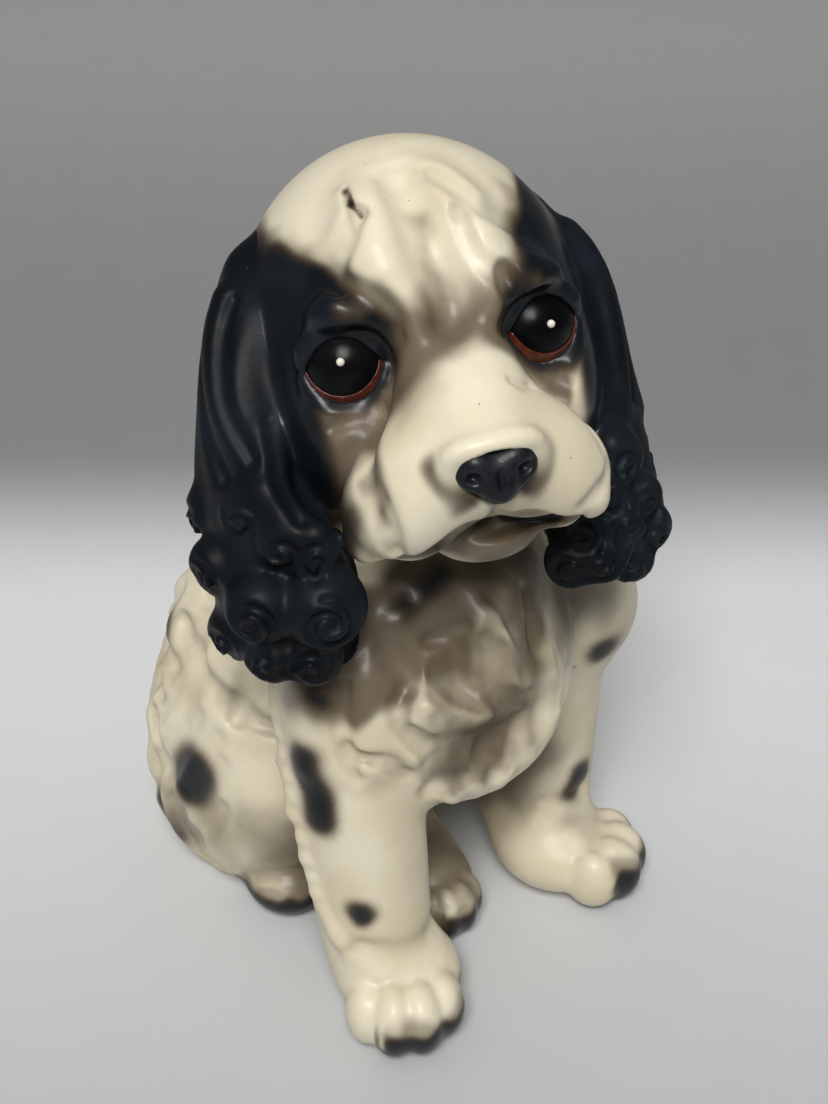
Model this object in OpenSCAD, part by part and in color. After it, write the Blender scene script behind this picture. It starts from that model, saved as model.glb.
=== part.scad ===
// Sitting spaniel puppy figurine in slip-cast, glazed ceramic.
// The body faces -Y, the dog's right side is -X and the table is z = 0.
// Hollow cast torso and head, with luted ears, legs, haunches, paws and tail.

/* [Overall] */
// Height from the table to the top of the skull
figure_h = 200; // [160:5:240]
// Thickness of the cast wall
wall = 4; // [3:0.5:5]
// Diameter of the vent hole under the seat
vent_d = 14; // [12:1:16]

/* [Head] */
// Turn of the head towards the dog's right, in degrees
head_turn = 28; // [25:1:31]
// Lift of the muzzle above level, in degrees
head_lift = 16; // [14:1:18]
// Tilt of the head towards the left shoulder, in degrees
head_tilt = 6.5; // [5:0.5:8]
// Width of the skull
skull_w = 72; // [70:1:74]
// Width over the flews of the muzzle
muzzle_w = 53; // [51:1:55]
// Radius of each eyeball
eye_r = 9; // [8.6:0.1:9.4]
// Distance between the eye centres
eye_gap = 38.6; // [37.8:0.2:39.4]
// Width of the nose
nose_w = 14; // [13:0.5:15]

/* [Ears] */
// Radius of the thick lower end of each ear
ear_r = 16.5; // [15.5:0.5:17.5]
// Radius of the curls on the lower ear
curl_r = 6.5; // [6:0.25:7]

/* [Legs] */
// Width of each front paw
front_paw_w = 31; // [28:1:33]
// Width of the right hind paw
hind_paw_w = 24; // [22:1:26]
// Depth of each haunch, front to back
haunch_len = 68; // [64:1:72]

/* [Hidden] */
// Height of the sculpture at the sizes written below
design_h = 202.607;
// Scale of the whole figurine against its design height
unit = figure_h / design_h;
// Shift that puts the middle of the figurine over the origin
centre = [3.646, 0.19, 0];
// Point where the skull sits on the neck
head_at = [-4.8, -12.5, 161.5];
// Facet counts of large, middle and small round masses
fine = 28;
mid = 20;
small = 12;
// Spine of the torso from rump to neck, with the body's radius at each point
spine = [[2, 32, 34], [0, 20, 66], [0, 2, 94], [-3, -8, 122]];
spine_r = [37, 37, 35, 26];
// Right and left ears from root to tip
ear_line_r = [[-31, 3, 17], [-38, -4, 4], [-41, -10, -18], [-40, -13, -44]];
ear_line_l = [[28, 6, 16], [34, 0, 3], [33, -6, -18], [32, -12, -44]];
ear_taper = [0.5, 0.64, 0.8, 0.98];
// Rows of curls on each ear: height above the tip and reach from the ear's line, as parts of its radius
curl_rows = [[1.15, 0.72], [0.45, 0.86], [-0.3, 0.82]];
curl_angles = [-110:55:110];
// Bridge of the muzzle from between the eyes to the nose, and the roll that hoods the nose
bridge = [[0, -24, -3], [0, -38, -10], [0, -48, -16]];
bridge_r = [13, 14.5, 12.5];
hood = [[-8, -57.6, -15], [-5, -59.8, -12], [5, -59.8, -12], [8, -57.6, -15]];
hood_r = [1.8, 2.4, 2.4, 1.8];
// Forelegs from shoulder to ankle
leg_line_r = [[-30, -14, 104], [-35, -26, 62], [-37, -36, 20]];
leg_line_l = [[36, -9, 102], [34.5, -15, 64], [27, -24, 20]];
glaze = "ivory";
patch = [0.08, 0.09, 0.12];

// Lays its children out in the figurine's frame at its full size
module placed() {
    scale(unit) translate(centre) children();
}

// Turns and lifts its children with the head
module head_frame() {
    translate(head_at) rotate([0, 0, -head_turn]) rotate([-head_lift, 0, 0]) rotate([0, -head_tilt, 0])
        children();
}

// Joins its children into one continuous skin
module skin() {
    resize([0, 0, 0]) children();
}

// Round mass with a radius along each axis
module mass(at, r, turn = 0, fn = mid) {
    translate(at) rotate([0, 0, turn]) scale(r) sphere(1, $fn = fn);
}

// Tapered limb through a list of points
module limb(points, radii, fn = mid) {
    for (i = [0:len(points) - 2])
        hull() {
            translate(points[i]) sphere(radii[i], $fn = fn);
            translate(points[i + 1]) sphere(radii[i + 1], $fn = fn);
        }
}

// Everything above the table
module above_table() {
    intersection() {
        children();
        translate([-200, -200, 0]) cube([400, 400, 400]);
    }
}

// Paw with four rounded toes, turned about its middle
module paw(at, r, turn) {
    translate(at) rotate([0, 0, turn]) {
        mass([0, 0, 0], r);
        for (a = [-33, -11, 11, 33])
            mass([sin(a) * r.x * 1.05, -cos(a) * r.y * 0.78, -r.z * 0.15],
                 [r.x * 0.36, r.x * 0.54, r.z * 0.75], fn = small);
    }
}

// Outer form of the torso with its chest ruff, left shoulder and loins
module torso_form() {
    limb(spine, spine_r, fine);
    mass([-7, -28, 84], [33, 24.5, 33], fn = fine);
    mass([40.5, -14, 81], [18.8, 19, 22]);
    for (s = [-1, 1])
        mass([s * 28.5, 33.5, 67], [17.5, 23, 20]);
}

// Hollow inside the torso, one wall in from the outside
module torso_hollow() {
    intersection() {
        limb(spine, [for (r = spine_r) r - wall], mid);
        translate([-200, -200, wall]) cube([400, 400, 400]);
    }
}

// Outer form of the head without its nose and eyes
module head_form() {
    head_frame() {
        mass([-0.5, 3, 5], [skull_w / 2, 38, 37.2], fn = fine);
        mass([0, -20, 10], [17, 11, 18]);
        limb(bridge, bridge_r, mid);
        limb(hood, hood_r, small);
        mass([1, -34.5, -35.5], [11, 11.5, 5.5], fn = small);
        for (s = [-1, 1]) {
            mass([s * 22, -12, -12], [12, 20, 19]);
            mass([s * 10, -43, -19], [12, 13, 11]);
            mass([s * (muzzle_w / 2 - 11.5), -39, -25], [11.5, 15, 11]);
            mass([s * (muzzle_w / 2 - 6), -36, -28], [6.5, 6.5, 6.5], fn = small);
            mass([s * 18, -28, 11.5], [8, 5, 4.5], fn = small);
        }
    }
}

// Hollow inside the skull
module head_hollow() {
    head_frame() mass([-0.5, 3, 5], [skull_w / 2 - wall, 38 - wall, 37.2 - wall]);
}

// Throat that joins the two hollows
module throat() {
    translate([-3, -8, 120]) cylinder(h = 40, r = 12, $fn = mid);
}

// Eyeball on one side, s = -1 for the dog's right
module eyeball(s, r = eye_r) {
    head_frame() translate([s * eye_gap / 2, -23.5, 1.5]) sphere(r, $fn = 24);
}

// Raised lower lid on one side
module lid(s) {
    head_frame() translate([s * eye_gap / 2, -27.5, 1]) rotate([90, 0, s * 14]) rotate([0, 0, 175])
        rotate_extrude(angle = 190, $fn = 28) translate([eye_r - 1.2, 0]) circle(1.5, $fn = 12);
}

// Raised dot of light on one eye
module dot(s) {
    head_frame() translate([s * (eye_gap / 2 + 2), -23.5 - eye_r * 0.94, 3]) sphere(1.2, $fn = 16);
}

// Pad of the nose, wide at the top and narrow below
module nose_form() {
    head_frame() {
        mass([0, -57.6, -15.4], [nose_w / 2, 4.7, 4.7]);
        mass([0, -58.2, -18.8], [nose_w / 3, 4, 4.8]);
    }
}

// One ear: a hanging flap that ends in a cluster of curls
module ear_form(line, r, s) {
    head_frame() {
        limb(line, [for (k = ear_taper) r * k]);
        for (row = curl_rows, a = curl_angles)
            translate(line[3] + [s * cos(a) * r * row[1], sin(a) * r * row[1], r * row[0]])
                sphere(curl_r, $fn = small);
        translate(line[3] - [0, 0, r * 0.65]) sphere(curl_r, $fn = small);
    }
}

// The two ears, the left one slightly slimmer
module ear_right_form() {
    ear_form(ear_line_r, ear_r, -1);
}

module ear_left_form() {
    ear_form(ear_line_l, ear_r * 0.9, 1);
}

// Outer form of the right foreleg, which steps forward
module foreleg_right_form() {
    limb(leg_line_r, [17, 16, 13.5]);
    paw([-35.5, -43, 10.5], [front_paw_w / 2, 16, 11], -33);
}

// Outer form of the left foreleg
module foreleg_left_form() {
    limb(leg_line_l, [21, 18, 15]);
    paw([26, -36, 10.5], [front_paw_w / 2 - 1, 18, 11], 30);
}

// Outer form of one haunch
module haunch_form(s) {
    mass([s * 33, s < 0 ? 27 : 26, 33.5], [20, haunch_len / 2, 35], turn = -s * 7, fn = fine);
    mass([s * 36, 26, 18], [16.5, haunch_len / 2 - 7, 18], turn = -s * 7);
}

// Outer form of the right hind paw
module hind_paw_right_form() {
    translate([-33, 8, 7.5]) rotate([0, 0, -40]) {
        mass([0, 0, 0], [hind_paw_w / 2, 15, 8.5]);
        mass([2, -7, -0.5], [9, 8, 7.5], fn = small);
    }
}

// Outer form of the left hind paw, tucked between the forelegs
module hind_paw_left_form() {
    limb([[0, 6, 12], [-4, -12, 11], [-8, -22, 9]], [9, 9, 9], small);
    paw([-9, -24, 9], [10.5, 12, 9], -8);
}

// Outer form of the tail, curled round the rump
module tail_form() {
    limb([[4, 60, 9], [22, 64, 9], [36, 57, 9], [46, 46, 8]], [9.5, 9.3, 8, 6]);
}

module torso() {
    color(glaze) placed() skin() difference() {
        above_table() torso_form();
        torso_hollow();
        throat();
        translate([2, 32, -1]) cylinder(h = 20, d = vent_d, $fn = mid);
    }
}

module head() {
    color(glaze) placed() skin() difference() {
        head_form();
        torso_form();
        head_hollow();
        throat();
        nose_form();
        for (s = [-1, 1]) {
            eyeball(s);
            lid(s);
        }
    }
}

module ear_right() {
    color(patch) placed() skin() difference() {
        ear_right_form();
        head_form();
        torso_form();
        foreleg_right_form();
    }
}

module ear_left() {
    color(patch) placed() skin() difference() {
        ear_left_form();
        head_form();
        torso_form();
        foreleg_left_form();
    }
}

module foreleg_right() {
    color(glaze) placed() skin() difference() {
        above_table() foreleg_right_form();
        torso_form();
    }
}

module foreleg_left() {
    color(glaze) placed() skin() difference() {
        above_table() foreleg_left_form();
        torso_form();
    }
}

module haunch_right() {
    color(glaze) placed() skin() difference() {
        above_table() haunch_form(-1);
        torso_form();
        foreleg_right_form();
    }
}

module haunch_left() {
    color(glaze) placed() skin() difference() {
        above_table() haunch_form(1);
        torso_form();
        foreleg_left_form();
    }
}

module hind_paw_right() {
    color(glaze) placed() skin() difference() {
        above_table() hind_paw_right_form();
        haunch_form(-1);
        torso_form();
        foreleg_right_form();
    }
}

module hind_paw_left() {
    color(glaze) placed() skin() difference() {
        above_table() hind_paw_left_form();
        torso_form();
        haunch_form(1);
        foreleg_left_form();
        foreleg_right_form();
    }
}

module tail() {
    color(glaze) placed() skin() difference() {
        above_table() tail_form();
        torso_form();
        haunch_form(1);
        haunch_form(-1);
    }
}

module nose() {
    color(patch) placed() skin() nose_form();
}

module eye_right() {
    color("black") placed() difference() {
        eyeball(-1);
        dot(-1);
    }
}

module eye_left() {
    color("black") placed() difference() {
        eyeball(1);
        dot(1);
    }
}

module eye_rim_right() {
    color("brown") placed() difference() {
        lid(-1);
        eyeball(-1);
    }
}

module eye_rim_left() {
    color("brown") placed() difference() {
        lid(1);
        eyeball(1);
    }
}

module glint_right() {
    color("white") placed() dot(-1);
}

module glint_left() {
    color("white") placed() dot(1);
}

torso();
head();
ear_right();
ear_left();
foreleg_right();
foreleg_left();
haunch_right();
haunch_left();
hind_paw_right();
hind_paw_left();
tail();
nose();
eye_right();
eye_left();
eye_rim_right();
eye_rim_left();
glint_right();
glint_left();
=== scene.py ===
import math

import bpy
import numpy as np
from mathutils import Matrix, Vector


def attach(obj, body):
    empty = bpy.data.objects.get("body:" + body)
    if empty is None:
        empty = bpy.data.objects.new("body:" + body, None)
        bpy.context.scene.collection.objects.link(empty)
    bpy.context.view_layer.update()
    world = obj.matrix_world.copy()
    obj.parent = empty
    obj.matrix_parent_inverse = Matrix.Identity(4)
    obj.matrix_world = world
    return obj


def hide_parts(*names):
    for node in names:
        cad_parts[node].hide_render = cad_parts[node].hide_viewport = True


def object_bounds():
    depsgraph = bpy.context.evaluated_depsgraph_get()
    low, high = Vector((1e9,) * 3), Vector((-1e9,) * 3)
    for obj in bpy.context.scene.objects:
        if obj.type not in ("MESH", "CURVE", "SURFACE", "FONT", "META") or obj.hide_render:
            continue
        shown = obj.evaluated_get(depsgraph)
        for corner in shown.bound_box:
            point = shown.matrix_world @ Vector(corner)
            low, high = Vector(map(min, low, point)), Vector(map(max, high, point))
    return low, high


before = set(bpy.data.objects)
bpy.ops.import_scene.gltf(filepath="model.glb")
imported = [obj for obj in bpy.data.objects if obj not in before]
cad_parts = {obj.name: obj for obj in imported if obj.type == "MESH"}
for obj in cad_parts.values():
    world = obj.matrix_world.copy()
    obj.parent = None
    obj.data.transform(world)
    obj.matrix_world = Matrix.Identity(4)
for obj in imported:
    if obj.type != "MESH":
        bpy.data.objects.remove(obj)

# Glazed ceramic spaniel puppy, sculpted as one blended clay field and parted where the cast sections meet.
# Sculpting numbers are millimetres in the figurine's own design frame: body facing -Y, +Z up.

CAD_LOW, CAD_HIGH = [list(v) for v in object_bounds()]
DESIGN_HEIGHT = 202.607
DESIGN_CENTRE = np.array([3.646, 0.19, 0.0])
UNIT = (CAD_HIGH[2] - CAD_LOW[2]) / DESIGN_HEIGHT
CELL = 0.66
RNG = np.random.default_rng(7)


def rot(axis, a):
    """Turn by a degrees about one axis."""
    c, s = math.cos(math.radians(a)), math.sin(math.radians(a))
    i, j = (axis + 1) % 3, (axis + 2) % 3
    turn = np.eye(3)
    turn[i, i] = turn[j, j] = c
    turn[i, j], turn[j, i] = -s, s
    return turn


class Pose:
    """A place and a turn that local sculpting points are read in."""

    def __init__(self, origin=(0, 0, 0), turn=None):
        self.o = np.array(origin, float)
        self.r = np.eye(3) if turn is None else np.array(turn, float)

    def out(self, p):
        return self.o + np.asarray(p, float) @ self.r.T

    def into(self, p):
        return (np.asarray(p, float) - self.o) @ self.r

    def then(self, origin, turn=None):
        return Pose(self.out(origin), self.r if turn is None else self.r @ turn)


REST = Pose()
# Keeps divisions away from zero
TINY = np.float32(1e-6)
# Distance that stands for empty space
FAR = 30.0
# How far round a mass the grid is updated
GAP = 7.0
# Overlap of a piece's border past the middle between neighbours
SEAM_LAP = np.float32(0.03)
# Rounds of smoothing that even out where borders run
SEAM_ROUNDS = 4
# Hair strokes: share of the width left at the ends, and the smallest and largest of them
STROKE_END = 0.35
STROKE_SIZES = (0.7, 1.2)
# How quickly a wavy stroke swings from side to side
STROKE_SWING = 0.9


class Clay:
    """Signed distances on a grid: negative inside. Masses are added or carved with a soft blend."""

    def __init__(self, low, high, cell):
        self.cell = cell
        self.low = np.floor(np.array(low, float) / cell) * cell
        self.n = np.ceil((np.array(high) - self.low) / cell).astype(int) + 1
        self.axes = [(self.low[k] + cell * np.arange(self.n[k])).astype(np.float32) for k in range(3)]
        self.d = np.full(self.n, FAR, np.float32)

    def blank(self):
        """An empty block on the same grid."""
        other = object.__new__(Clay)
        other.cell, other.low, other.n, other.axes = self.cell, self.low, self.n, self.axes
        other.d = np.full(self.n, FAR, np.float32)
        return other

    def window(self, low, high):
        a = np.clip(np.floor((np.asarray(low) - self.low) / self.cell).astype(int), 0, self.n)
        b = np.clip(np.ceil((np.asarray(high) - self.low) / self.cell).astype(int) + 1, 0, self.n)
        return tuple(slice(i, j) for i, j in zip(a, b))

    def all(self):
        return tuple(slice(0, n) for n in self.n)

    def local(self, w, pose):
        r = pose.r.astype(np.float32)
        x = self.axes[0][w[0]][:, None, None] - np.float32(pose.o[0])
        y = self.axes[1][w[1]][None, :, None] - np.float32(pose.o[1])
        z = self.axes[2][w[2]][None, None, :] - np.float32(pose.o[2])
        return [r[0, k] * x + r[1, k] * y + r[2, k] * z for k in range(3)]

    def mix(self, fn, low, high, blend, pose, sign, margin):
        w = self.window(low - blend - margin, high + blend + margin)
        if any(s.stop <= s.start for s in w):
            return
        a = self.d[w] if sign > 0 else -self.d[w]
        b = fn(*self.local(w, pose)).astype(np.float32)
        self.d[w] = sign * soft_min(a, b, blend)

    def egg(self, centre, radii, blend=0.0, pose=REST, turn=None, sign=1):
        q = pose.then(centre, turn)
        r = np.array(radii, np.float32)

        def fn(x, y, z):
            q2 = r ** 2
            k0 = np.sqrt((x / r[0]) ** 2 + (y / r[1]) ** 2 + (z / r[2]) ** 2) + TINY
            k1 = np.sqrt((x / q2[0]) ** 2 + (y / q2[1]) ** 2 + (z / q2[2]) ** 2) + TINY
            return k0 * (k0 - 1) / k1

        reach = np.sqrt(((q.r * r) ** 2).sum(1))
        self.mix(fn, q.o - reach, q.o + reach, blend, q, sign, GAP)

    def limb(self, points, radii, blend=0.0, pose=REST, sign=1, squash=(1, 1, 1), margin=GAP):
        pts = [np.array(p, float) for p in points]
        sq = [np.float32(1 / v) for v in squash]

        def fn(x, y, z):
            best = None
            for a, b, ra, rb in zip(pts, pts[1:], radii, radii[1:]):
                ab = ((b - a) * np.array(sq)).astype(np.float32)
                length = np.float32(math.sqrt(float(ab @ ab)) + 1e-6)
                slope = np.float32(np.clip((ra - rb) / length, -0.9, 0.9))
                p = [(v - np.float32(a[k])) * sq[k] for k, v in enumerate((x, y, z))]
                along = (p[0] * ab[0] + p[1] * ab[1] + p[2] * ab[2]) / length
                out = np.sqrt(np.maximum(p[0] ** 2 + p[1] ** 2 + p[2] ** 2 - along ** 2, 0))
                lean = slope / np.float32(math.sqrt(1 - slope ** 2))
                h = np.clip((along - lean * out) / length, 0, 1)
                d = np.sqrt((along - h * length) ** 2 + out ** 2) - (ra + h * np.float32(rb - ra))
                best = d if best is None else np.minimum(best, d)
            return best * np.float32(min(squash))

        world = pose.out(pts)
        r = max(radii) * max(squash)
        self.mix(fn, world.min(0) - r, world.max(0) + r, blend, pose, sign, margin)

    def tube(self, points, radii, blend=0.0, pose=REST, sign=1, squash=(1, 1, 1), finer=3):
        """A limb along a smooth curve, with smoothly changing radius."""
        both = smooth_path(np.column_stack([points, radii]), finer)
        self.limb(both[:, :3], list(both[:, 3]), blend, pose, sign, squash)

    def sample(self, p):
        q = np.clip((np.asarray(p, float) - self.low) / self.cell, 0, self.n - 1.001)
        i = q.astype(int)
        f = q - i
        total = 0.0
        for dx, dy, dz in np.ndindex(2, 2, 2):
            w = np.abs(1 - dx - f[..., 0]) * np.abs(1 - dy - f[..., 1]) * np.abs(1 - dz - f[..., 2])
            total = total + w * self.d[i[..., 0] + dx, i[..., 1] + dy, i[..., 2] + dz]
        return total

    def slope(self, p, e):
        """Change of the distance across each point, from e before it to e past it along each axis."""
        return np.stack([self.sample(p + e * v) - self.sample(p - e * v) for v in np.eye(3)], -1)

    def normal(self, p):
        g = self.slope(p, self.cell * 0.9)
        return g / np.maximum(np.linalg.norm(g, axis=-1, keepdims=True), 1e-9)

    def land(self, p, steps=5):
        p = np.array(p, float)
        for _ in range(steps):
            p = p - self.normal(p) * np.clip(self.sample(p), -4, 4)[..., None]
        return p

    def line(self, points, radii, depth, blend, pose=REST, sign=-1, finer=4):
        """Carves (or raises, with sign 1) a soft line that follows the surface near some points."""
        p = smooth_path(pose.out(points), finer)
        r = along_path(radii, len(p))
        p = self.land(p)
        p = p + self.normal(p) * (r - depth if sign < 0 else depth - r)[:, None]
        self.limb(p, list(r), blend, sign=sign, margin=2.0)

    def comb(self, seeds, flow, steps, stride, radius, depth, blend, wave):
        """Carves tapered strokes that run over the surface from each seed along a flow direction."""
        p = self.land(np.array(seeds, float))
        paths = [p]
        phase = RNG.uniform(0, 2 * math.pi, len(p))
        for i in range(steps):
            n = self.normal(p)
            f = flow(p)
            f = f - n * (f * n).sum(-1, keepdims=True)
            f = f / np.maximum(np.linalg.norm(f, axis=-1, keepdims=True), 1e-6)
            side = np.cross(n, f)
            f = f + side * (wave * np.sin(phase + i * STROKE_SWING))[:, None]
            p = self.land(p + f * stride, 2)
            paths.append(p)
        paths = np.stack(paths, 1)
        n = self.normal(paths)
        t = np.linspace(0, 1, steps + 1)
        taper = STROKE_END + (1 - STROKE_END) * np.sin(math.pi * np.clip(t * 0.9 + 0.08, 0, 1))
        size = RNG.uniform(*STROKE_SIZES, len(paths))
        for q, m, s in zip(paths, n, size):
            r = radius * s * taper
            q = q + m * (r - depth * s * taper)[:, None]
            self.limb(q, list(r), blend, sign=-1, margin=1.6)


def soft_min(a, b, blend):
    if blend <= 0:
        return np.minimum(a, b)
    h = np.maximum(blend - np.abs(a - b), 0) / np.float32(blend)
    return np.minimum(a, b) - h * h * np.float32(blend / 4)


def smooth_path(points, finer):
    """Catmull-Rom curve through the points."""
    p = np.asarray(points, float)
    if len(p) < 3:
        t = np.linspace(0, 1, finer * 2 + 1)[:, None]
        return p[0] * (1 - t) + p[-1] * t
    e = np.vstack([2 * p[0] - p[1], p, 2 * p[-1] - p[-2]])
    out = []
    for i in range(1, len(e) - 2):
        for t in np.arange(finer) / finer:
            a, b, c, d = e[i - 1], e[i], e[i + 1], e[i + 2]
            square = (2 * a - 5 * b + 4 * c - d) * t ** 2
            cube = (3 * b - a - 3 * c + d) * t ** 3
            out.append(0.5 * (2 * b + (c - a) * t + square + cube))
    out.append(p[-1])
    return np.array(out)


def along_path(radii, count):
    """Spreads a few radii evenly over a path of count points."""
    return np.interp(np.linspace(0, 1, count), np.linspace(0, 1, len(radii)), radii)


def nets(d, low, cell):
    """Surface nets of a distance grid: vertices and quads that face outwards."""
    inside = d < 0
    n = np.array(d.shape)
    count = np.zeros(n - 1, np.int8)
    for dx, dy, dz in np.ndindex(2, 2, 2):
        count += inside[dx:n[0] - 1 + dx, dy:n[1] - 1 + dy, dz:n[2] - 1 + dz]
    active = (count > 0) & (count < 8)
    index = np.full(active.shape, -1, np.int64)
    ijk = np.argwhere(active)
    index[active] = np.arange(len(ijk))
    total, number = np.zeros((len(ijk), 3)), np.zeros(len(ijk))
    for axis in range(3):
        others = [k for k in range(3) if k != axis]
        for u, v in np.ndindex(2, 2):
            a = ijk.copy()
            a[:, others] += (u, v)
            b = a.copy()
            b[:, axis] += 1
            da, db = d[tuple(a.T)], d[tuple(b.T)]
            cross = (da < 0) != (db < 0)
            p = np.zeros((len(ijk), 3))
            p[:, others] = u, v
            p[:, axis] = np.where(cross, da / np.where(cross, da - db, 1), 0)
            total += p * cross[:, None]
            number += cross
    verts = low + cell * (ijk + total / number[:, None])
    quads = []
    for axis in range(3):
        a, b = [slice(None)] * 3, [slice(None)] * 3
        a[axis], b[axis] = slice(0, -1), slice(1, None)
        e = np.argwhere(inside[tuple(a)] != inside[tuple(b)])
        o = [(axis + 1) % 3, (axis + 2) % 3]
        keep = (e[:, o[0]] > 0) & (e[:, o[1]] > 0) & (e[:, o[0]] < n[o[0]] - 1) & (e[:, o[1]] < n[o[1]] - 1)
        e = e[keep]
        ring = []
        for u, v in ((0, 0), (1, 0), (1, 1), (0, 1)):
            q = e.copy()
            q[:, o] -= (u, v)
            ring.append(index[tuple(q.T)])
        ring = np.stack(ring, 1)
        flip = ~inside[tuple(e.T)]
        ring[flip] = ring[flip][:, ::-1]
        quads.append(ring)
    return verts, np.concatenate(quads)


def window_of(mask, pad):
    """Index window round the marked cells."""
    w = []
    for axis in range(3):
        hit = np.nonzero(mask.any(axis=tuple(k for k in range(3) if k != axis)))[0]
        w.append(slice(max(hit.min() - pad, 0), min(hit.max() + pad + 1, mask.shape[axis])))
    return tuple(w)


def soften(d, times):
    """Averages a grid with its neighbours."""
    for _ in range(times):
        for axis in range(3):
            a = np.moveaxis(d, axis, 0).copy()
            a[1:-1] = (a[:-2] + 2 * a[1:-1] + a[2:]) / 4
            d = np.moveaxis(a, 0, axis)
    return np.ascontiguousarray(d)


class Figure:
    """The whole blended skin, and which piece owns each point of it."""

    def __init__(self, low, high, cell):
        self.skin = Clay(low, high, cell)
        self.near = np.full(self.skin.n, FAR, np.float32)
        self.next = np.full(self.skin.n, FAR, np.float32)
        self.owner = np.full(self.skin.n, -1, np.int8)
        self.names = []

    def add(self, name, make, blend, border=None):
        """Adds one piece. Its border follows a plainer form if one is given."""
        piece = self.skin.blank()
        make(piece)
        w = window_of(piece.d < FAR, 0)
        self.skin.d[w] = soft_min(self.skin.d[w], piece.d[w], blend)
        if border:
            piece = self.skin.blank()
            border(piece)
            w = window_of(piece.d < FAR, 0)
        d = piece.d[w]
        best = self.near[w]
        win = d < best
        self.next[w] = np.where(win, best, np.minimum(self.next[w], d))
        self.owner[w] = np.where(win, len(self.names), self.owner[w])
        self.near[w] = np.where(win, d, best)
        self.names.append(name)

    def region(self, name, w):
        """Signed distance to one piece's share of the figure, inside a window."""
        gap = (self.near[w] - self.next[w]) * np.float32(0.5)
        return soften(np.where(self.owner[w] == self.names.index(name), gap, -gap), SEAM_ROUNDS) - SEAM_LAP


# ------ the sculpture

HEAD = Pose((-4.8, -12.5, 161.5), rot(2, -28) @ rot(0, -16) @ rot(1, -6.5))
SIDES = {"right": -1, "left": 1}
EYE_R = 9.0
EYE_AT = (19.3, -23.5, 1.5)
# Centre line of the body and its radii
SPINE = [(2, 32, 34), (0, 20, 66), (0, 2, 94), (-3, -8, 122)]
SPINE_R = [37, 37, 35, 26]
EAR_LINE = {
    "right": [(-31, 3, 17), (-37, -4, 4), (-40.5, -10, -18), (-40, -13, -44)],
    "left": [(28, 6, 16), (34, 0, 3), (33, -6, -18), (32, -12, -44)],
}
EAR_R = {"right": [8.5, 10, 12.3, 16.2], "left": [8, 10, 12, 15]}
# Hair strands raised along each ear, and the hollow behind the rolled front edge
EAR_STRANDS = {
    "right": [
        ([(-34, -12, 17), (-39, -16, 9), (-42.5, -20, 0), (-40, -26, -11), (-36, -29, -22)],
            [2, 2.8, 2.8, 2.6, 2]),
        ([(-38, -4, 15), (-44, -10, 7), (-46, -18, -4), (-43, -25, -14), (-40, -28, -20)],
            [1.8, 2.6, 2.8, 2.4, 1.6]),
        ([(-31, -17, 14), (-32, -24, 3), (-31, -30, -7), (-29, -34, -18), (-28, -33, -28)],
            [2, 2.8, 2.8, 2.8, 2]),
        ([(-34, 6, 17), (-42, 1, 4), (-46, -4, -10), (-48, -10, -22)], [1.8, 2.8, 2.8, 2]),
        ([(-30, 14, 14), (-38, 12, 0), (-43, 10, -14), (-45, 6, -24)], [1.8, 2.8, 2.8, 2]),
        ([(-33, -29, -6), (-34.5, -31, -17), (-32, -33, -27)], [1.4, 2.2, 1.6]),
    ],
    "left": [
        ([(31, -8, 17), (37, -7, 13), (41, -9, 4), (41.5, -13, -7), (38, -20, -18), (33, -25, -26)],
            [1.6, 2.6, 3, 3, 2.8, 1.8]),
        ([(33, -15, 8), (33, -19, -2), (31, -24, -13), (29, -28, -24)], [1.4, 2.2, 2.2, 1.4]),
        ([(36, 2, 14), (41, 0, 2), (42, -4, -12), (40, -8, -24)], [1.8, 2.8, 2.8, 2]),
        ([(31, 12, 14), (37, 11, 0), (39, 8, -14), (38, 5, -24)], [1.8, 2.8, 2.8, 2]),
    ],
}
EAR_HOLLOW = {
    "right": ([(-33.5, -17, 13), (-36.5, -20.5, 6), (-37.5, -24.5, -2), (-35, -28.5, -11)],
        [1.5, 4.4, 4.6, 1.8]),
    "left": ([(35.5, -10, 10), (37, -14.5, 1), (36, -19.5, -10), (32, -25, -21)], [1.5, 4, 4.2, 1.8]),
}
# Fine furrows between the strands
EAR_FURROWS = {
    "right": [
        [(-37, -8, 15), (-42, -13, 7), (-44.5, -19.5, -3), (-42, -26, -13)],
        [(-37, 1, 16), (-43.5, -4, 5), (-46.5, -11, -7), (-46, -18, -18)],
        [(-32, 10, 16), (-41, 7, 1), (-45, 3, -14), (-47, -2, -25)],
        [(-34, -26, -4), (-36, -30, -15), (-35, -32, -26)],
    ],
    "left": [
        [(34, -3, 16), (40, -4, 5), (42, -8, -8), (40, -14, -20)],
        [(34, 8, 14), (39.5, 6, 1), (40.5, 2, -12), (39, -2, -24)],
    ],
}
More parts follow.
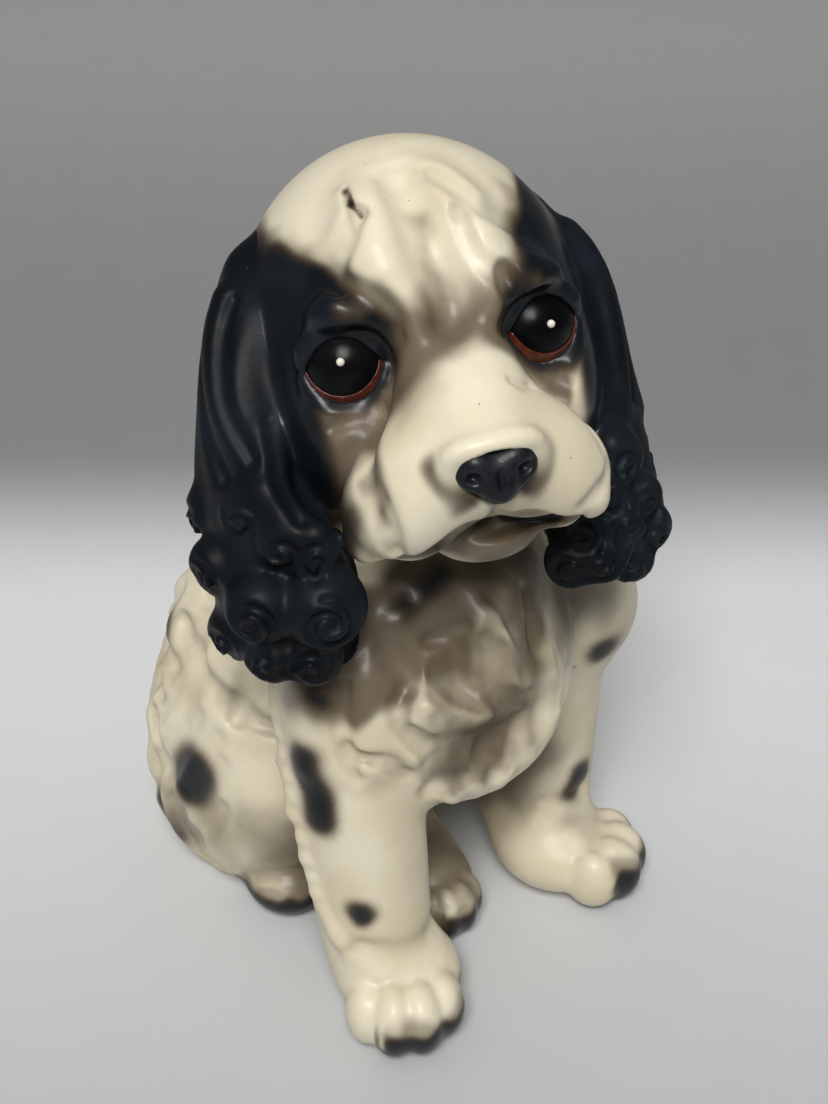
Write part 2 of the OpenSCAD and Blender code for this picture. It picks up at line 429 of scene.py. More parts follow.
# Curls on the lower ear: centre and radius
EAR_CURLS = {
    "right": [
        ((-44.5, -22.5, -24), 5.8), ((-52, -15.5, -36), 6.5), ((-45.5, -25, -44), 8),
        ((-51, -13.5, -52), 6.8), ((-33.5, -27.5, -46), 9.2), ((-37.5, -24, -57.5), 6.6),
        ((-45.5, -22, -56), 6.2), ((-34, -29, -34), 5.4), ((-39.5, -27, -31), 5.4), ((-50, 0, -42), 8),
        ((-43, 4, -55), 8), ((-47, 4, -28), 6.5), ((-33, 6, -49), 8), ((-35, -12, -56), 7.5),
        ((-51, -8, -27), 6),
    ],
    "left": [
        ((34.5, -23, -30), 5), ((37, -24, -39), 5.2), ((38, -23, -46.5), 5.8), ((32, -27, -42), 5.6),
        ((26.8, -25, -49), 7), ((33.5, -22, -53), 5.8), ((20.8, -24, -50), 6.2), ((30, -27, -35), 5.2),
        ((24.5, -25, -41), 5.4), ((36, 1, -39), 7.5), ((31, 1, -50), 7.5), ((35, 6, -28), 6),
        ((39, -10, -34), 6.2), ((38, -10, -46), 6.8), ((26, -8, -53), 7), ((35, -11, -53), 6),
    ],
}
LOW, HIGH = (-70, -82, -3), (62, 80, 207)


def eye_spot(s):
    """Centre of one eye in head space."""
    return (s * EYE_AT[0], EYE_AT[1], EYE_AT[2])


def torso(k):
    """Body, then chest, shoulder and loins."""
    k.tube(SPINE, SPINE_R, 0)
    k.egg((-7, -28, 84), (33, 24, 33), 10)
    k.egg((-5, -36, 70), (23, 13, 15), 8)
    k.egg((40.2, -20.3, 77), (17, 18, 20), 9)
    k.egg((-29, 33, 66), (17, 22, 20), 14)
    k.egg((28, 34, 68), (18, 24, 20), 14)


# Soft ridges of the chest ruff: path and radii
CHEST_RIDGES = [
    ([(-18, -38, 120), (-16, -45, 111), (-12, -50, 102), (-4, -52, 94), (4, -49, 88)], [5, 6.5, 6.5, 6, 4]),
    ([(-5.5, -42.6, 113.6), (-7.5, -45.4, 107.5), (-11, -49, 104)], [3, 4.4, 3.4]),
    ([(-30, -38, 96), (-22, -44, 90), (-14, -48, 87), (-7, -49, 84)], [3, 4, 4.5, 3]),
    ([(-27, -36, 106), (-24, -40, 99), (-27, -40, 90), (-28, -40, 80)], [2.5, 3.5, 3.5, 2.5]),
    ([(-36, -34, 96), (-37, -35, 86), (-38, -34, 76)], [3, 4, 3]),
    ([(-44, -26, 92), (-45, -27, 84), (-45, -27, 75)], [2.5, 3.5, 2.5]),
    ([(5, -47, 80), (-3, -49, 70), (-13, -48, 62)], [3.5, 4.5, 4]),
    ([(-20, -46, 70), (-23, -45, 62)], [3, 3.5]),
]
# Folds cut into it: path, radii and depth
CHEST_CREASES = [
    ([(-11, -46, 114), (-8, -48, 108), (-6, -50, 102)], [0.7, 1.5, 0.8], 1.7),
    ([(1, -44, 108), (-1, -49, 103), (-1, -50, 96)], [0.8, 1.9, 0.9], 2.0),
    ([(-23.5, -38, 103), (-20, -41, 104.5), (-17, -43, 107)], [0.7, 1.6, 0.8], 1.6),
    ([(-24, -41, 96), (-19, -46, 92), (-12, -49, 89), (-5, -51, 87)], [0.8, 2, 2, 0.8], 1.5),
    ([(-30, -38, 93), (-29.5, -39.5, 88), (-28, -41, 82)], [0.5, 1.2, 0.5], 1.5),
    ([(-41, -32, 96), (-41, -32, 84), (-39, -33, 74)], [0.4, 1.6, 0.4], 0.9),
    ([(-37, -31, 80), (-34, -35, 77), (-30, -38, 74)], [0.6, 1.3, 0.6], 1.3),
    ([(-25, -42, 66), (-19, -46, 68), (-15, -48, 73), (-10, -50, 77)], [0.8, 1.6, 1.8, 0.8], 1.4),
    ([(-6, -50, 80), (-8, -50, 72), (-12, -49, 66)], [0.6, 1.4, 0.7], 1.2),
]
# Dents between the folds: centre and radii
CHEST_HOLLOWS = [
    ((-25, -44, 112), (6, 5, 9)), ((-21, -50, 99), (5, 4, 4)), ((-12, -56, 80), (7, 4, 5)),
    ((-20, -53, 75), (6, 4, 4)), ((-34, -44, 104), (6, 5, 8)), ((14, -51, 107), (9, 9, 13)),
]


CHEST_STROKES = 46


def down_chest(p):
    """Hair runs down the chest and draws in a little towards its middle."""
    x = p[..., 0]
    return np.stack([-0.015 * (x + 10), 0 * x - 0.1, 0 * x - 1.0], -1)


def chest_fur(k):
    """Ridges, folds and dents of the ruff, then a few loose strokes."""
    for points, radii in CHEST_RIDGES:
        p = k.land(smooth_path(points, 4))
        r = along_path(radii, len(p))
        k.limb(p - k.normal(p) * (r * 0.84)[:, None], list(r), 8, margin=4.0)
    for centre, radii in CHEST_HOLLOWS:
        k.egg(centre, radii, 8, sign=-1)
    for points, radii, depth in CHEST_CREASES:
        k.line(points, radii, depth * 0.6, 3)
    across, up = RNG.uniform(-40, 22, CHEST_STROKES), RNG.uniform(66, 112, CHEST_STROKES)
    seeds = np.column_stack([across, np.full(CHEST_STROKES, -52.0), up])
    k.comb(seeds, down_chest, steps=6, stride=2.2, radius=1.7, depth=0.35, blend=3.2, wave=0.2)


# Long folds on the flanks and haunches: path, radii and depth
BODY_CREASES = [
    ([(-37, 34, 74), (-42, 24, 67), (-44, 12, 62), (-43, 0, 60)], [1, 2.4, 2.4, 1], 1.7),
    ([(-30, 30, 84), (-38, 20, 76), (-43, 6, 72), (-44, -6, 72)], [1, 2.2, 2.4, 1], 1.5),
    ([(-24, 20, 96), (-34, 10, 88), (-41, -2, 84)], [1, 2.2, 1.2], 1.5),
    ([(-48, 42, 46), (-52, 36, 32), (-51, 30, 20), (-46, 24, 9)], [0.8, 2, 2, 0.9], 1.5),
    ([(-46, 46, 38), (-50, 42, 26), (-49, 37, 14)], [0.8, 1.8, 0.9], 1.4),
    ([(-52, 28, 26), (-50, 22, 16), (-46, 17, 8)], [0.7, 1.6, 0.8], 1.2),
    ([(-38, 50, 66), (-44, 46, 58), (-47, 40, 52)], [1, 2, 1], 1.3),
    ([(-30, 52, 76), (-38, 44, 70), (-43, 36, 64)], [1, 2, 1], 1.3),
    ([(37, 40, 70), (43, 26, 62), (45, 10, 58)], [1, 2.4, 1], 1.6),
    ([(34, 30, 84), (41, 16, 76), (43, 0, 72)], [1, 2.2, 1], 1.5),
    ([(50, 40, 44), (53, 32, 30), (50, 26, 14)], [0.8, 2, 0.9], 1.4),
    ([(0, 62, 60), (2, 56, 80), (1, 44, 100)], [1, 2, 1], 1.0),
    ([(-14, 60, 52), (-12, 54, 74), (-10, 42, 94)], [1, 2, 1], 1.0),
    ([(14, 62, 50), (16, 54, 72), (14, 42, 92)], [1, 2, 1], 1.0),
]


COAT_STROKES = 150


def down_coat(p):
    """Hair runs down the body, a little outwards, and more to the rear the lower it is."""
    x, z = p[..., 0], p[..., 2]
    return np.stack([0.1 * np.sign(x), 0.3 - 0.01 * (z - 60), 0 * x - 1.0], -1)


def body_fur(k):
    """Long folds and shallow strokes on the flanks, haunches and back."""
    for points, radii, depth in BODY_CREASES:
        k.line(points, radii, depth, 4)
    a = RNG.uniform(0, 2 * math.pi, COAT_STROKES)
    z = RNG.uniform(14, 118, COAT_STROKES)
    seeds = np.column_stack([60 * np.sin(a), 20 + 62 * np.cos(a), z])
    seeds = seeds[seeds[:, 1] > -6]
    k.comb(seeds, down_coat, steps=8, stride=2.8, radius=2.5, depth=0.75, blend=3.5, wave=0.1)


# Edges that carry small tufts
FRINGES = [
    [(-49, -12, 86), (-51, -22, 62), (-50.5, -32, 38), (-49, -39, 27)],
    [(-22, -20, 58), (-24, -27, 44), (-24, -35, 30)],
    [(-20, 0, 50), (-23, -14, 40), (-24, -22, 30)],
    [(47, -6, 78), (45, -14, 54), (40, -20, 32)],
]


def leg_fringe(k):
    """Small rounded tufts down the back edge of each foreleg."""
    for line in FRINGES:
        p = k.land(smooth_path(line, 5))
        for q in p:
            n = k.normal(q)
            size = RNG.uniform(1.5, 2.7)
            tip = q + n * RNG.uniform(-0.4, 0.7) + RNG.uniform(-1, 1, 3) - [0, 0, RNG.uniform(2.5, 5)]
            k.limb([q - n * size * 0.45, tip - n * 0.5], [size, size * 0.5], 2.0)
    k.line([(-47, -43, 27), (-40, -50, 24), (-32, -50, 23), (-26, -46, 23)], [0.8, 2.6, 2.6, 1], 0.9, 5)
    k.line([(18, -38, 28), (26, -41, 27), (34, -36, 26)], [0.8, 2.2, 0.8], 0.8, 5)


def haunch(k, s):
    k.egg((s * 32.5, 27 if s < 0 else 26, 33.5), (19.5, 34, 35), 8, turn=rot(2, -s * 7))
    k.egg((s * 36, 26, 18), (16, 27, 18), 8, turn=rot(2, -s * 7))


# Degrees from the middle of a paw to its outer toes
TOE_SPREAD = 33


def paw(k, at, radii, turn, toe=0.36):
    """A paw with four round toes, each a share of the paw's half width."""
    p = Pose(at, rot(2, turn))
    rx, ry, rz = radii
    k.egg((0, 1, -0.5), (rx * 0.98, ry * 0.94, rz * 0.96), 6, p)
    for a in (-1, -1 / 3, 1 / 3, 1):
        t = math.radians(a * TOE_SPREAD)
        side = abs(a) == 1
        size = rx * toe * (0.95 if side else 1.08)
        k.egg((math.sin(t) * rx * 1.08, -math.cos(t) * ry * (0.75 if side else 0.85), -rz * 0.12),
            (size, size * 1.3, rz * (0.76 if side else 0.86)), 1.7, p)


def foreleg_right(k):
    k.tube([(-30, -14, 104), (-35, -26, 62), (-37, -36, 20)], [17, 16, 13.5], 6)
    paw(k, (-35.5, -43, 10.5), (15.5, 16, 11), -33)


def foreleg_left(k):
    k.tube([(36, -9, 102), (34.5, -15, 64), (27, -24, 20)], [21, 18, 15], 6)
    paw(k, (26, -36, 10.5), (14.8, 18, 11.2), 30, toe=0.39)


def hind_paw_right(k):
    p = Pose((-33, 8, 7.5), rot(2, -40))
    k.egg((0, 0, 0), (12, 15, 8.5), 0, p)
    k.egg((2, -7, -0.5), (9, 8, 7.5), 4, p)


def hind_paw_left(k):
    k.tube([(0, 6, 12), (-4, -12, 11), (-8, -22, 9)], [9, 9, 9], 4)
    paw(k, (-9, -24, 9), (10.5, 12, 9), -8)


def tail(k):
    k.tube([(4, 60, 9), (22, 64, 9), (36, 57, 9), (46, 46, 8)], [9.5, 9, 8, 6], 4)


def head(k):
    h = HEAD
    # skull, brow and muzzle
    k.egg((-0.5, 3, 5), (36, 38, 36.8), 8, h)
    k.egg((0, -20, 10), (17, 11, 18), 8, h)
    k.tube([(0, -24, -3), (0, -38, -10), (0, -48, -16)], [13, 14.5, 12.5], 8, h)
    for s in (-1, 1):
        # cheek, two parts of the lip, its corner and the brow over the eye
        k.egg((s * 22, -12, -12), (12, 20, 19), 10, h)
        k.egg((s * 10, -43, -19), (12, 13, 11), 5, h)
        k.egg((s * 15, -39, -25), (11.5, 15, 11), 5, h)
        k.tube([(s * 20, -36, -27), (s * 23, -34, -33)], [6.5, 4], 4, h)
        k.egg((s * 18, -28, 11.5), (8, 5, 4.5), 5, h)
    # folds of the forehead and their ends over the eyes
    k.tube([(-7.5, -16, 30), (-9, -22, 28), (-10, -28.5, 21), (-7.5, -32.5, 13), (-6.5, -34, 9)],
        [3, 5, 7, 4.6, 3.2], 8, h)
    k.tube([(3, -16, 31.5), (4.5, -21, 30.3), (7.5, -28, 23), (9.5, -32.3, 15), (10.5, -34, 9.5)],
        [2, 3.6, 5.4, 4.4, 2.4], 8, h)
    k.egg((-18.5, -31.2, 13.2), (4.6, 3.2, 3.0), 4.5, h)
    k.egg((17.3, -31, 12.8), (4.0, 3.2, 3.2), 4.5, h)
    # chin and the fuller lip on the left
    k.egg((1, -34.5, -35.5), (11, 11.5, 5.5), 4, h)
    k.egg((20.8, -45, -30), (3.4, 5, 4), 2, h)
    sockets(k)
    face_lines(k)
    nose_fold(k)


# Upper and lower lid: thickness, and where it starts and stops round the eye in degrees
LIDS = ((2.5, 15, 165), (1.6, 190, 350))


def sockets(k):
    """Hollow round each eyeball, edged by the two lids."""
    for s in (-1, 1):
        x, y, z = EYE_AT
        k.egg((s * x, y - 8.5, z), (8.6, 6.5, 7.8), 3, HEAD, sign=-1)
        for r, start, stop in LIDS:
            arc = [eye_ring(s, math.radians(a), 8.3, 4.6) for a in np.linspace(start, stop, 9)]
            k.limb(arc, [r * 0.6] + [r] * 7 + [r * 0.6], 1.8, HEAD)


def eye_ring(s, a, radius, forward):
    """Point on the ring where the lids meet the eyeball, in head space."""
    x, y, z = EYE_AT
    out = rot(2, s * 14) @ np.array([math.cos(a) * radius, -forward, math.sin(a) * radius * 0.92])
    return (s * x + out[0], y + out[1], z + out[2])


# Wrinkles of the face in head space: path, radii, depth and blend
WRINKLES = [
    ([(-1.8, -20, 33), (-0.3, -30, 22), (0.2, -33.5, 13), (-0.5, -36, 7)], [2, 3.4, 2.4, 1.2], 1.9, 5),
    ([(5, -22, 34), (10.2, -29.3, 27.6), (15, -27, 24.5), (20, -22, 21)], [1, 2.2, 2, 1], 1.5, 2.5),
    ([(6.5, -31, 27), (7.8, -35, 19), (12, -36, 14)], [0.8, 1.6, 1], 1.1, 2),
    ([(12.4, -35, 15), (13, -36, 10), (12.5, -36.5, 4)], [0.8, 1.5, 1], 1.5, 2),
    ([(-12.4, -18.3, 34.1), (-12.8, -23.5, 31.8), (-11.4, -26.6, 29)], [0.4, 0.9, 0.4], 1.0, 0),
    ([(-12.2, -27.5, 28), (-15.3, -29, 25), (-18.5, -28.5, 20.5)], [1, 2.2, 1.5], 1.7, 3),
    ([(-19, -31, 17.5), (-14, -35.5, 15), (-11.7, -37, 12), (-11.2, -37.5, 7)], [1, 1.9, 1.9, 1], 1.8, 2),
    ([(-15.5, -34, -8), (-20.6, -41.2, -14.8), (-21, -49, -20.5), (-20.5, -51, -26), (-20, -49, -32)],
        [0.8, 2, 2.1, 1.8, 0.8], 2.3, 2.5),
    ([(12.5, -38, -3.5), (17.8, -32.5, -6.8), (20.7, -34, -11), (21.5, -42, -15), (22, -45, -21)],
        [0.7, 1.8, 2.1, 1.8, 0.8], 2.4, 2),
    ([(8, -49, -3), (10, -48, -4.6), (12, -46, -5.5)], [0.4, 0.9, 0.4], 0.7, 1),
    ([(21.5, -46, -25.5), (19.5, -50, -26.5), (17, -52, -29)], [0.6, 1, 0.6], 0.9, 1.5),
    ([(0, -58, -22), (0, -54, -30)], [0.8, 1.2], 1.2, 1.5),
]


def face_lines(k):
    h = HEAD
    for points, radii, depth, blend in WRINKLES:
        k.line(points, [r * 1.1 for r in radii], depth * 0.85, blend + 1.2, h)
    for s in (-1, 1):
        k.line([(s * 14, -34, -3), (s * 18, -36, -7), (s * 25, -31, -9)], [0.8, 1.3, 0.6], 0.8, 3, h)
        k.line([(s * 1, -52, -31), (s * 8, -52, -32.5), (s * 16, -48, -35.5), (s * 22, -40, -36)],
            [2.4, 2, 1.6, 0.8], 2.2, 1.5, h)
    k.egg((7, -49, -33), (11, 7, 2.0), 1.5, h, sign=-1)
    k.egg((-2, -50.5, -32.5), (5, 6, 1.8), 1.5, h, sign=-1)


def nose_fold(k):
    """Raised rim that hoods the nose, and the seat of the nose inside it."""
    h = HEAD
    hood = [(-7.6, -55.5, -18.8), (-8.4, -57.4, -14.6), (-6.8, -59.2, -12), (0, -60.2, -11.4),
        (6.8, -59.2, -12), (8.4, -57.4, -14.6), (7.6, -55.5, -18.8)]
    k.tube(hood, [0.8, 1.5, 1.8, 1.9, 1.8, 1.5, 0.8], 4.0, h)
    k.egg((0, -60, -17), (6.5, 4.6, 4.8), 1.0, h, sign=-1)
    k.egg((0, -59.6, -20), (4, 4, 3), 2.0, h, sign=-1)


def ear(k, side):
    """A hanging flap with a rolled edge, flowing strands and a cluster of curls."""
    h = HEAD
    k.tube(EAR_LINE[side], EAR_R[side], 6, h, squash=(0.9, 1, 1), finer=5)
    for centre, r in EAR_CURLS[side]:
        k.egg(centre, (r, r, r), 1.8, h)
    points, radii = EAR_HOLLOW[side]
    k.tube(points, radii, 3.5, h, sign=-1)
    for points, radii in EAR_STRANDS[side]:
        k.line(points, radii, 0.75, 4.5, h, sign=1, finer=6)
    for points in EAR_FURROWS[side]:
        k.line(points, [0.7, 1.5, 1.5, 0.7], 0.9, 2.4, h, finer=6)
    for centre, r in EAR_CURLS[side]:
        curl(k, centre, r)


def ear_form(k, side):
    """Plain form of one ear, which settles where the ear's border with the head and the body runs."""
    k.tube(EAR_LINE[side], [r + 2 for r in EAR_R[side]], 0, HEAD, squash=(0.9, 1, 1), finer=5)
    for centre, r in EAR_CURLS[side]:
        k.egg(centre, (r + 1.5,) * 3, 2, HEAD)


def curl(k, centre, r):
    """Spiral groove and a dimple that turn a round lump into a lock of hair."""
    core = HEAD.out((np.sign(centre[0]) * 33, -6, centre[2] + 6))
    c = HEAD.out(centre)
    c = k.land(c + (c - core) * 0.3)
    n = k.normal(c)
    e = np.cross(n, (0.3, 0.2, 1.0))
    e = e / np.linalg.norm(e)
    g = np.cross(n, e)
    turn = RNG.uniform(0, 2 * math.pi)
    way = -1 if RNG.random() < 0.5 else 1
    t = np.linspace(0, 1, 20)
    a = turn + way * t * 2 * math.pi * 1.3
    reach = r * (0.95 - 0.7 * t)
    p = c + (np.cos(a) * reach)[:, None] * e + (np.sin(a) * reach)[:, None] * g + n * 0.5
    p = k.land(p)
    width = (0.1 * r + 0.35) * (0.55 + 0.5 * np.sin(math.pi * np.clip(t + 0.1, 0, 1)))
    depth = (0.16 * r + 0.5) * np.clip(t * 5, 0.3, 1)
    p = p + k.normal(p) * (width - depth)[:, None]
    k.limb(p, list(width), 1.2, sign=-1, margin=2.0)
    k.egg(c + n * 0.3, (r * 0.2, r * 0.2, r * 0.2), 1.2, sign=-1)


# Clay pieces in the order they are blended: what shapes each, and how softly it joins what is there
MASSES = [
    ("torso", torso, 0), ("haunch_right", lambda k: haunch(k, -1), 8),
    ("haunch_left", lambda k: haunch(k, 1), 8), ("tail", tail, 4), ("foreleg_right", foreleg_right, 7),
    ("foreleg_left", foreleg_left, 7), ("hind_paw_right", hind_paw_right, 2),
    ("hind_paw_left", hind_paw_left, 3), ("head", head, 7),
]


def figure():
    f = Figure(LOW, HIGH, CELL)
    for name, make, blend in MASSES:
        f.add(name, make, blend)
    for side in SIDES:
        f.add("ear_" + side, lambda k, side=side: ear(k, side), 4, lambda k, side=side: ear_form(k, side))
    chest_fur(f.skin)
    body_fur(f.skin)
    leg_fringe(f.skin)
    return f


# ------ airbrushed paint, painted shade and painted highlight


def smooth(a, low, high):
    """0 below low, 1 above high, eased between."""
    t = np.clip((a - low) / (high - low), 0, 1)
    return t * t * (3 - 2 * t)


def spot(p, a, b, radius, soft):
    """Airbrushed spot along the line from a to b, also used for painted shade and painted highlight: 1 in the
    middle, fading out over soft.
    """
    a, b = np.array(a, float), np.array(b, float)
    h = np.clip((p - a) @ (b - a) / ((b - a) @ (b - a) + 1e-9), 0, 1)
    far = np.linalg.norm(p - a - h[:, None] * (b - a), axis=1)
    return 1 - smooth(far, radius - soft / 2, radius + soft / 2)


def wobble(p, size, amount):
    """Slow wandering shift of the points, so that airbrushed edges are uneven."""
    x, y, z = p.T * (2 * math.pi / size)
    return amount * np.stack([np.sin(y + 1.3 * np.sin(z * 0.7)),
        np.sin(z + 0.7 + 1.1 * np.sin(x * 0.8)), np.sin(x + 2.1 + 1.2 * np.sin(y * 0.9))], 1)


# Black airbrushed spots on the coat: ends of the spot, radius, soft edge and strength
COAT_SPOTS = [
    ((-52.5, 22, 40), (-52, 24, 36), 7.4, 12, 1.0), ((-50.3, -28, 77), (-50.2, -32.3, 62), 4.2, 9.5, 1.0),
    ((-27, -34, 110), (-18, -36, 117), 3.0, 10, 1.0), ((-48, -28, 94), (-46, -30, 92), 2.0, 7, 1.0),
    ((-46.8, -42, 38), (-46.3, -42.5, 37), 2.8, 8, 1.0), ((36, -36, 71), (40, -33, 73), 4.0, 10, 1.0),
    ((28.5, -38, 29), (31, -37.5, 33), 3.8, 9, 1.0), ((-46, 40, 84), (-46, 42, 72), 4.0, 9, 1.0),
    ((-49, 40, 18), (-50, 32, 12), 3.4, 10, 1.0), ((24, 66, 52), (22, 68, 44), 8.0, 12, 1.0),
    ((46, 34, 62), (48, 30, 56), 6.0, 12, 1.0), ((-10, 58, 88), (-6, 60, 80), 5.0, 10, 1.0),
]
# Dark glaze dipped along the toe tips: centre and turn of the paw, its half width and half length,
# the stretch of its front that is dark, and how high the dark glaze reaches
TOE_DIPS = [
    (-35.5, -43, -33, 15.5, 16, -9, 18, 13.0), (26, -36, 30, 14.8, 18, -13, 19, 15.0),
    (-9, -24, -8, 10.5, 12, -8, 13, 12.0), (-33, 8, -40, 12, 15, -16, 14, 11.0),
]


def in_paw(p, x, y, turn, rx, ry):
    """Points as seen from a paw: across it, forward of its centre, and how far out towards its rim."""
    q = (p - [x, y, 0]) @ rot(2, turn)
    return q[:, 0], -q[:, 1], np.hypot(q[:, 0] / rx, np.minimum(q[:, 1], 0) / ry)


def toe_tips(p, extra=0.0):
    """Dark along the toe tips, reaching higher by the given amount."""
    out = np.zeros(len(p))
    for *paw_at, start, stop, height in TOE_DIPS:
        across, forward, reach = in_paw(p, *paw_at)
        edge = smooth(reach, 0.55, 0.95) * smooth(forward, 0, 4)
        edge = edge * smooth(across - start, 0, 5) * smooth(stop - across, 0, 4)
        out = np.maximum(out, edge * smooth(height + extra - p[:, 2], -1, 4.5))
    return out


def toe_gaps(p):
    """Brown in the three gaps between the toes of each paw."""
    out = np.zeros(len(p))
    for x, y, turn, rx, ry, *_ in TOE_DIPS[:3]:
        across, forward, reach = in_paw(p, x, y, turn, rx, ry)
        angle = np.degrees(np.arctan2(across / rx, np.maximum(forward, 0.01) / ry))
        low = smooth(reach, 0.86, 1.0) * smooth(17 - p[:, 2], 0, 9)
        for gap in (-23, 0, 23):
            out = np.maximum(out, (1 - smooth(np.abs(angle - gap), 0.8, 4.5)) * low)
    return out


# Brown airbrush in the folds, with broad painted shade under the head, between the legs and round the paws:
# place, radius, soft edge and strength
BROWN_AND_SHADE_SPOTS = [
    ((-24, -35, 114), 7, 14, 1.0), ((-30, -33, 108), 7, 14, 0.9), ((-34, -34, 102), 8, 14, 0.6),
    ((-21, -43, 99), 5, 9, 0.9), ((-12, -50, 79), 8, 14, 0.7), ((-19, -47, 73), 8, 14, 0.7),
    ((0, -45, 106), 7, 12, 0.7), ((-2, -51, 96), 5, 10, 0.7), ((6, -43, 112), 8, 14, 0.8),
    ((-46, -27, 93), 9, 14, 0.85), ((-38, -34, 97), 8, 14, 0.6), ((-12, -44, 96), 20, 30, 0.4),
    ((-27, -34, 110), 8, 10, 1.0), ((-36, -36, 99), 7, 10, 1.0), ((1, -46, 104), 5, 9, 0.9),
    ((-48, -28, 93), 5, 7, 1.0), ((-42, -35, 91), 4, 7, 0.9), ((-17, -37, 118), 9, 10, 1.0),
    ((-26, -40, 102), 5, 8, 1.0), ((-16, -48, 84), 14, 22, 0.35), ((18, -38, 94), 12, 18, 0.9),
    ((36, -34, 88), 9, 16, 0.6), ((-34, -12, 16), 14, 18, 0.9), ((4, -24, 36), 16, 20, 0.95),
    ((-9, -24, 16), 12, 16, 0.8), ((-4, -36, 8), 8, 12, 0.7), ((26, -34, 50), 14, 26, 0.3),
    ((14, -34, 44), 12, 18, 0.8), ((46, -26, 70), 9, 14, 0.7), ((-44, 12, 24), 14, 26, 0.6),
    ((-50, 34, 18), 9, 16, 0.7), ((-40, 16, 66), 6, 14, 0.5), ((-46, 0, 60), 8, 14, 0.6),
    ((-36, -4, 30), 10, 20, 0.7), ((26, -42, 22), 5, 10, 0.4), ((-14, -38, 117), 13, 18, 0.85),
    ((-33, 6, 6), 12, 12, 0.6), ((-48, 46, 60), 8, 16, 0.4), ((14, -40, 30), 7, 12, 0.5),
    ((34, -46, 15), 9, 14, 0.3),
]


def blacken(q, spots, dark):
    """Darkens up to the strongest of some spots. Each row: two ends, radius, soft edge, strength."""
    for a, b, radius, soft, strength in spots:
        dark = np.maximum(dark, strength * spot(q, a, b, radius, soft))
    return dark


def coat_dark(p):
    dark = blacken(p + wobble(p, 16, 0.4), COAT_SPOTS, np.zeros(len(p)))
    return np.maximum(dark, 0.95 * toe_tips(p + wobble(p, 9, 0.6)))


def airbrush_and_shade(q, spots, brown):
    """Lays soft spots of brown airbrush and painted shade over the brown that is there. Each row: one end or
    two, radius, soft edge, strength.
    """
    for *ends, radius, soft, strength in spots:
        brown = brown + (1 - brown) * strength * spot(q, ends[0], ends[-1], radius, soft)
    return brown


# Brown airbrush on the coat together with painted shade under the chest, between the legs and round the paws
def coat_brown_and_shade(p):
    q = p + wobble(p, 13, 1.5)
    brown = airbrush_and_shade(q, BROWN_AND_SHADE_SPOTS, np.zeros(len(p)))
    return np.maximum(brown, np.maximum(0.8 * toe_gaps(p), 0.65 * toe_tips(q, 3)))


# Black patch round each eye in head space: its inner edge and how that leans outwards above the eye, the
# height of its top and how that rises to the back, its lowest edge, and where it turns down to the ear
PATCH = {-1: (10.6, 0.85, 22.0, 0.2, -7.0, 24.0), 1: (11.4, 0.7, 40.0, 0.0, -7.0, 25.0)}


def patches(p, soft):
    """The black patches round the eyes, 1 inside and fading out over the given distance."""
    x, y, z = p.T
    out = np.zeros(len(p))
    for s, (inner, lean, top, rise, low, outer) in PATCH.items():
        a = s * x
        inside = smooth(a - lean * np.maximum(z - 10, 0), inner - soft, inner + 3)
        below = smooth(top + rise * (y + 32) - z, -soft, 4)
        cheek = smooth(z - low - 0.9 * np.maximum(18 - a, 0), -soft, 3)
        cheek = np.maximum(cheek, smooth(a - outer, -soft / 3, 5))
        out = np.maximum(out, inside * below * cheek * smooth(16 - y, 0, 5))
    return out


# Painted highlight on the brow bumps, lightening the black there: ends, radius, soft edge and strength
BROW_HIGHLIGHTS = [
    ((-19, -34, 13.6), (-17, -34, 13.4), 1.6, 5, 0.55), ((17, -34, 13), (18, -34, 12.6), 1.4, 4, 0.6),
]
# Black painted shade beside the nose, along the lips and in the forehead slit, with the same measures
FACE_BLACK_SHADE = [
    ((-8, -57.5, -17), (-5.5, -58, -21.5), 1.6, 5, 0.7), ((8, -57.5, -17), (5.5, -58, -21.5), 1.6, 5, 0.7),
    ((-11, -47, -33), (-1, -49.5, -28.5), 0.8, 3, 1.0), ((0, -46, -31), (16, -42, -33), 2.2, 3.5, 1.0),
    ((-12.4, -18.3, 34.1), (-12.8, -23.5, 31.8), 0.7, 1.6, 0.9),
    ((-12.8, -23.5, 31.8), (-11.4, -26.6, 29), 0.8, 1.4, 0.9),
]


# Black patches round the eyes, lightened by a painted highlight on the brows, with black painted shade in the
# hollows of the face
def head_dark(p):
    q = HEAD.into(p + wobble(p, 15, 0.5))
    dark = patches(q, 3.5)
    for a, b, radius, soft, strength in BROW_HIGHLIGHTS:
        dark = dark * (1 - strength * spot(q, a, b, radius, soft))
    return blacken(q, FACE_BLACK_SHADE, dark)
